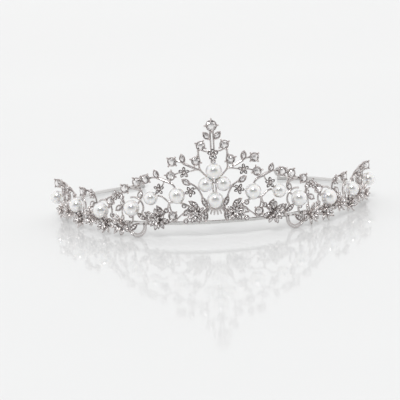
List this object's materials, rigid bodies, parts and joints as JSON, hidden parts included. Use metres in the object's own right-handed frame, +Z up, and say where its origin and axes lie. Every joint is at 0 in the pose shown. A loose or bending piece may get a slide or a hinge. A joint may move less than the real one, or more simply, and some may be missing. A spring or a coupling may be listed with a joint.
{
  "type": "bridal tiara",
  "caption": "Open wire tiara with a peaked front of scrolls, pearls, round stones and pointed leaf stones, ending in two eyelets for ribbon or hairpins.",
  "frame": {"origin": "middle of the underside, on the surface the tiara stands on", "axes": "+Z up, the front faces -Y, +X to the right when looking at the front"},
  "size_m": [0.1546, 0.1178, 0.0526],
  "materials": {
    "band_metal": "bright silver-coloured plating on flat wire",
    "wire_metal": "bright silver-coloured plating on round wire",
    "setting_metal": "bright plated settings, darker in the recesses",
    "crystal": "clear cut glass with a foiled back",
    "pearl": "ivory-white imitation pearl with a soft lustre"
  },
  "bodies": {
    "root": {"headband": "band_metal", "eyelet_right": "band_metal", "eyelet_left": "band_metal", "centre_stem": "wire_metal", "centre_arch": "wire_metal", "lyre_right": "wire_metal", "lyre_left": "wire_metal", "ogive_right": "wire_metal", "ogive_left": "wire_metal", "branch_right": "wire_metal", "branch_left": "wire_metal", "arc_right": "wire_metal", "arc_left": "wire_metal", "rising_scroll_right": "wire_metal", "rising_scroll_left": "wire_metal", "falling_scroll_right": "wire_metal", "falling_scroll_left": "wire_metal", "foot_scroll_right": "wire_metal", "foot_scroll_left": "wire_metal", "outer_wires_right": "wire_metal", "outer_wires_left": "wire_metal", "end_wires_right": "wire_metal", "end_wires_left": "wire_metal", "pearl_curls_right": "wire_metal", "pearl_curls_left": "wire_metal", "centre_posts": "setting_metal", "side_posts_right": "setting_metal", "side_posts_left": "setting_metal", "tip_setting": "setting_metal", "tip_stone": "crystal", "centre_flower": "setting_metal", "centre_flower_stones": "crystal", "round_settings_right": "setting_metal", "round_settings_left": "setting_metal", "round_stones_right": "crystal", "round_stones_left": "crystal", "small_settings_right": "setting_metal", "small_settings_left": "setting_metal", "small_stones_right": "crystal", "small_stones_left": "crystal", "leaf_settings_right": "setting_metal", "leaf_settings_left": "setting_metal", "leaf_stones_right": "crystal", "leaf_stones_left": "crystal", "flowers_right": "setting_metal", "flowers_left": "setting_metal", "flower_stones_right": "crystal", "flower_stones_left": "crystal", "sprays_right": "setting_metal", "sprays_left": "setting_metal", "spray_stones_right": "crystal", "spray_stones_left": "crystal", "pearl_top": "pearl", "pearl_bottom": "pearl", "pearl_inner_right": "pearl", "pearl_inner_left": "pearl", "pearls_right": "pearl", "pearls_left": "pearl"}
  },
  "joints": []
}
